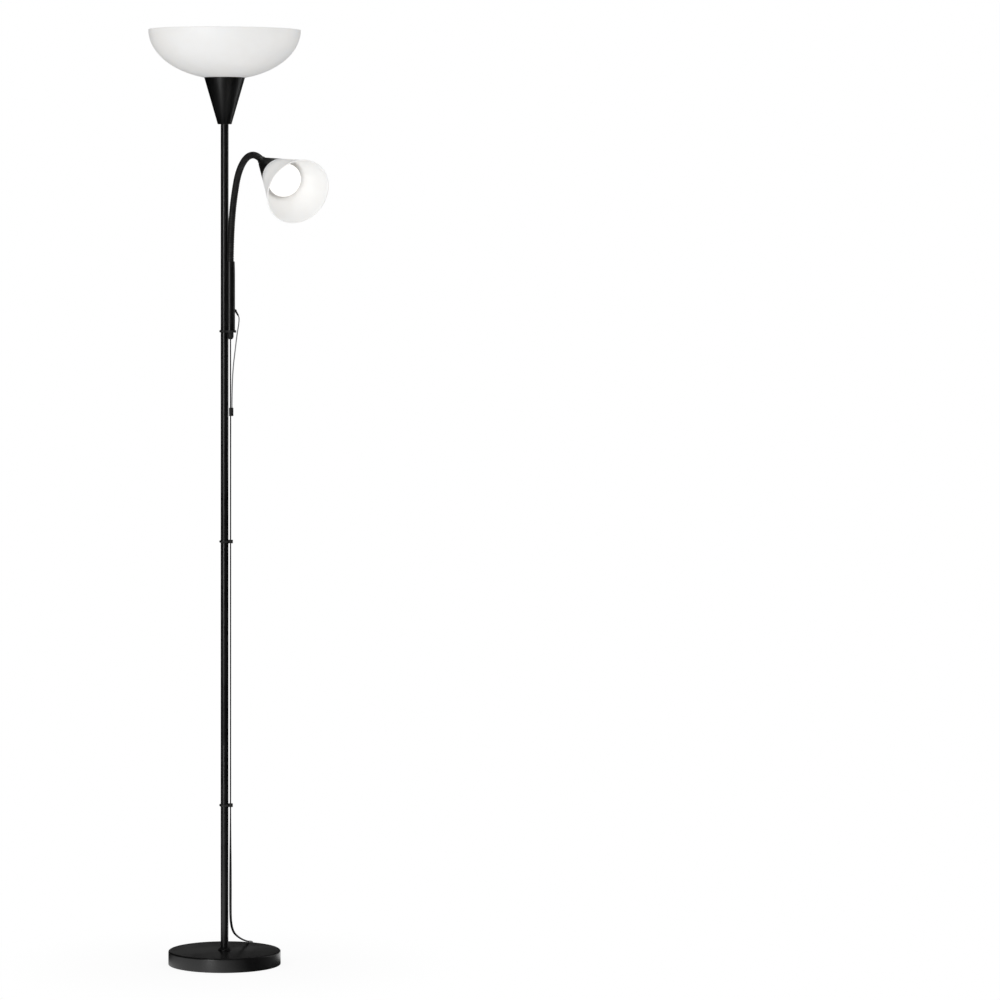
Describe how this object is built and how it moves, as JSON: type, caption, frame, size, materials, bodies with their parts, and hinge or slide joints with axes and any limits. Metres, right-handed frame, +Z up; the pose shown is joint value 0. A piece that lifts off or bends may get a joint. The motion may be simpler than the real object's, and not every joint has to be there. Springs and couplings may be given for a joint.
{
  "type": "floor lamp",
  "caption": "Torchiere floor lamp: round weighted base, thin sectional pole, upward open bowl on a cone, and a reading head on a bendable gooseneck arm.",
  "frame": {"origin": "on the pole's axis at floor level, in the centre of the base's underside", "axes": "+Z up along the pole; -Y is the front, the way the reading head points; +X to the right"},
  "size_m": [0.3392, 0.509, 1.8],
  "materials": {
    "black_paint": "satin black powder coat",
    "neck_black": "satin black flexible tube",
    "opal_plastic": "translucent off-white, satin",
    "white_plastic": "white moulded plastic",
    "frosted_glass": "frosted white bulb",
    "zinc_steel": "zinc plated",
    "phenolic": "dark moulded phenolic",
    "brass": "plain brass",
    "cast_iron": "raw cast iron",
    "pad_foam": "dark foam rubber",
    "clip_rubber": "matt black rubber",
    "black_lead": "satin black flexible lead",
    "grey_lead": "thin grey lead",
    "black_plastic": "fine textured black plastic"
  },
  "bodies": {
    "stand": {"base_pad": "pad_foam", "base_weight": "cast_iron", "base_cover": "black_paint", "base_collar": "black_paint", "base_washer": "zinc_steel", "hex_nuts": "zinc_steel", "threaded_nipples": "zinc_steel", "pole_couplers": "zinc_steel", "pole_section_1": "black_paint", "pole_section_2": "black_paint", "pole_section_3": "black_paint", "pole_section_4": "black_paint", "uplight_cone": "black_paint", "bowl_carrier": "zinc_steel", "uplight_socket": "phenolic", "uplight_contacts": "brass", "uplight_bowl": "opal_plastic", "uplight_ring": "white_plastic", "uplight_bulb_cap": "zinc_steel", "uplight_bulb": "frosted_glass", "uplight_wire": "grey_lead", "clip_top": "clip_rubber", "cable_clips": "clip_rubber", "arm_sleeve": "black_paint", "arm_saddle": "black_paint", "arm_screws": "zinc_steel", "sleeve_bushing": "white_plastic", "sleeve_end_cap": "clip_rubber", "side_gland": "clip_rubber", "reading_lead": "grey_lead", "lead_joiner": "clip_rubber", "mains_lead": "black_lead", "mains_link": "black_lead", "mains_coil": "black_lead", "mains_tail": "black_lead", "coil_tie": "black_plastic", "switch_base": "black_plastic", "switch_cover": "black_plastic", "plug_body": "black_plastic", "plug_blades": "brass"},
    "neck_0": {"neck_root": "neck_black"},
    "neck_1": {"neck_link_1": "neck_black"},
    "neck_2": {"neck_link_2": "neck_black"},
    "neck_3": {"neck_link_3": "neck_black"},
    "neck_4": {"neck_link_4": "neck_black"},
    "neck_5": {"neck_link_5": "neck_black"},
    "neck_6": {"neck_link_6": "neck_black"},
    "neck_7": {"neck_link_7": "neck_black"},
    "neck_8": {"neck_link_8": "neck_black"},
    "neck_9": {"neck_link_9": "neck_black"},
    "head": {"head_collar": "black_paint", "reading_cone": "black_paint", "reading_socket": "phenolic", "reading_contacts": "brass", "reading_ring": "white_plastic", "reading_shade": "opal_plastic", "reading_bulb_cap": "zinc_steel", "reading_bulb": "frosted_glass"},
    "switch_rocker_1": {"rocker_1": "black_plastic"},
    "switch_rocker_2": {"rocker_2": "black_plastic"}
  },
  "joints": [
    {"name": "arm_swivel", "type": "hinge", "parent": "stand", "child": "neck_0", "pos_m": [0.0112, -0.0128, 1.35775], "axis": [0, 0, 1], "range_deg": [-90, 90]},
    {"name": "arm_bend", "type": "hinge", "parent": "neck_0", "child": "neck_1", "pos_m": [0.0112, -0.0128, 1.37275], "axis": [0.8988, 0.4384, 0], "range_deg": [-5, 7]},
    {"name": "neck_bend_2", "type": "hinge", "parent": "neck_1", "child": "neck_2", "pos_m": [0.01261, -0.01568, 1.41864], "axis": [0.8988, 0.4384, 0], "range_deg": [-5, 7]},
    {"name": "neck_bend_3", "type": "hinge", "parent": "neck_2", "child": "neck_3", "pos_m": [0.01593, -0.02251, 1.46401], "axis": [0.8988, 0.4384, 0], "range_deg": [-5, 7]},
    {"name": "head_bend", "type": "hinge", "parent": "neck_3", "child": "neck_4", "pos_m": [0.02217, -0.03528, 1.50776], "axis": [0.8988, 0.4384, 0], "range_deg": [-6, 6]},
    {"name": "neck_bend_5", "type": "hinge", "parent": "neck_4", "child": "neck_5", "pos_m": [0.02649, -0.04415, 1.5263], "axis": [0.8988, 0.4384, 0], "range_deg": [-6, 6]},
    {"name": "neck_bend_6", "type": "hinge", "parent": "neck_5", "child": "neck_6", "pos_m": [0.03253, -0.05653, 1.54215], "axis": [0.8988, 0.4384, 0], "range_deg": [-6, 6]},
    {"name": "neck_bend_7", "type": "hinge", "parent": "neck_6", "child": "neck_7", "pos_m": [0.04016, -0.07218, 1.55389], "axis": [0.8988, 0.4384, 0], "range_deg": [-6, 6]},
    {"name": "neck_bend_8", "type": "hinge", "parent": "neck_7", "child": "neck_8", "pos_m": [0.04896, -0.09023, 1.56003], "axis": [0.8988, 0.4384, 0], "range_deg": [-6, 6]},
    {"name": "neck_bend_9", "type": "hinge", "parent": "neck_8", "child": "neck_9", "pos_m": [0.05817, -0.1091, 1.55966], "axis": [0.8988, 0.4384, 0], "range_deg": [-6, 6]},
    {"name": "neck_bend_10", "type": "hinge", "parent": "neck_9", "child": "head", "pos_m": [0.06697, -0.12715, 1.55352], "axis": [0.8988, 0.4384, 0], "range_deg": [-6, 6]},
    {"name": "rocker_1_press", "type": "hinge", "parent": "stand", "child": "switch_rocker_1", "pos_m": [-0.0049, 0.12323, 0.0086], "axis": [0.2079, -0.9781, 0], "range_deg": [0, 14]},
    {"name": "rocker_2_press", "type": "hinge", "parent": "stand", "child": "switch_rocker_2", "pos_m": [0.0127, 0.12697, 0.0086], "axis": [0.2079, -0.9781, 0], "range_deg": [0, 14]}
  ],
  "couplings": [
    {"joint": "neck_bend_2", "follows": "arm_bend", "ratio": 1},
    {"joint": "neck_bend_3", "follows": "arm_bend", "ratio": 1},
    {"joint": "neck_bend_5", "follows": "head_bend", "ratio": 1},
    {"joint": "neck_bend_6", "follows": "head_bend", "ratio": 1},
    {"joint": "neck_bend_7", "follows": "head_bend", "ratio": 1},
    {"joint": "neck_bend_8", "follows": "head_bend", "ratio": 1},
    {"joint": "neck_bend_9", "follows": "head_bend", "ratio": 1},
    {"joint": "neck_bend_10", "follows": "head_bend", "ratio": 1}
  ]
}
